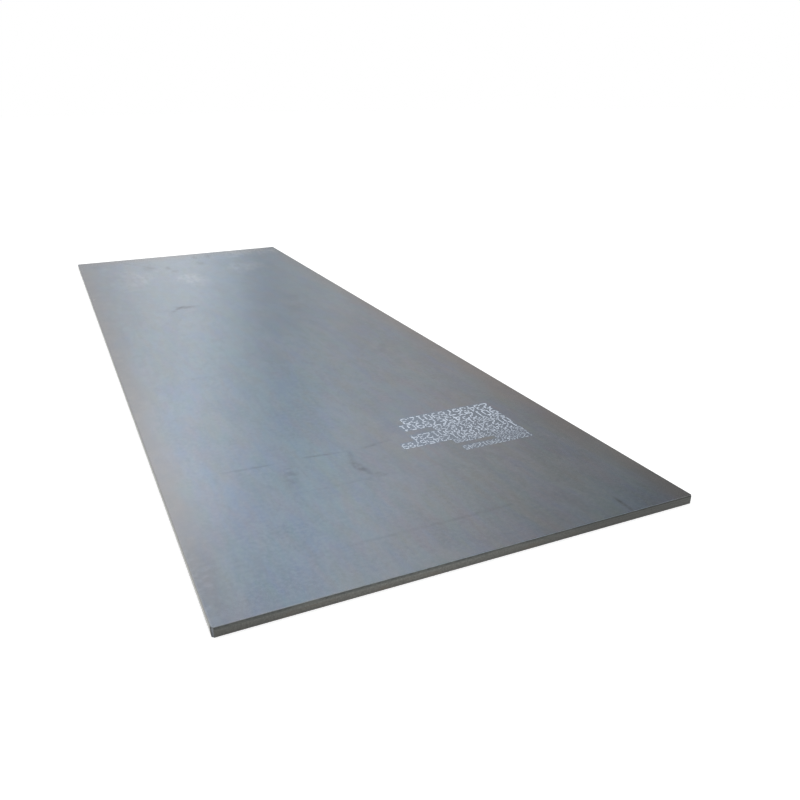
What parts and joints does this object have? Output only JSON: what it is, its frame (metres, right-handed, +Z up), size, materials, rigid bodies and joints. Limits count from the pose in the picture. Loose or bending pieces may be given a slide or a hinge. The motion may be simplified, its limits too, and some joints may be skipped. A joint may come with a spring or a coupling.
{
  "type": "steel plate",
  "caption": "Flat rectangular hot-rolled steel plate with mill scale and sheared edges, lying flat as raw stock for cutting, welding or laying.",
  "frame": {"origin": "middle of the plate's underside, on the surface that it rests on", "axes": "+X across the width, +Y along the length, away from the marked end, +Z up through the thickness"},
  "size_m": [2, 6, 0.04],
  "materials": {
    "mill_scale": "satin",
    "marking_paint": "matte"
  },
  "bodies": {
    "root": {"plate": "mill_scale"}
  },
  "joints": []
}
